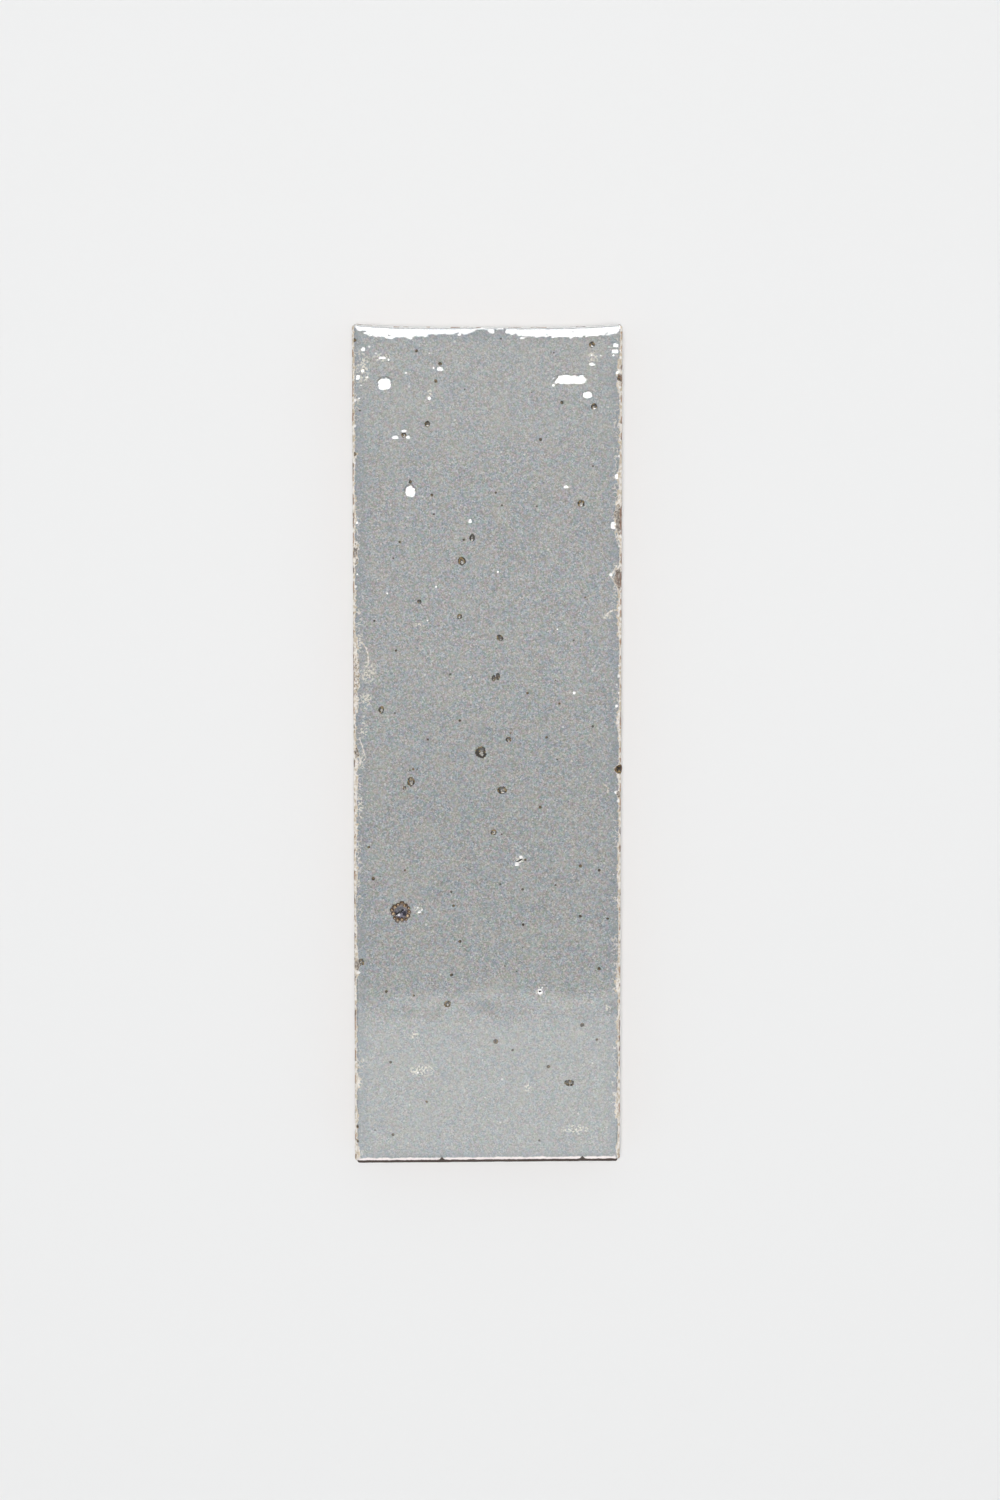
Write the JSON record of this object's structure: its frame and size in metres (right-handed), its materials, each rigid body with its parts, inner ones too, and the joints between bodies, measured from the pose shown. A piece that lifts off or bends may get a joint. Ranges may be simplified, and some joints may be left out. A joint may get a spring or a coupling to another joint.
{
  "type": "glazed brick tile",
  "caption": "Oblong fired-clay brick tile with a speckled grey glazed face, rounded edges, a rolled head, small edge chips and burst glaze pits, for facing a wall or floor.",
  "frame": {"origin": "centre of the tile's flat back", "axes": "+X across the tile, +Y along it from the foot to the rolled head, +Z out of the glazed face"},
  "size_m": [0.0642, 0.1999, 0.013],
  "materials": {
    "glazed_clay": "glossy speckled grey glaze on the face, bare fired clay on the walls and back"
  },
  "bodies": {
    "root": {"glazed_brick_tile": "glazed_clay"}
  },
  "joints": []
}
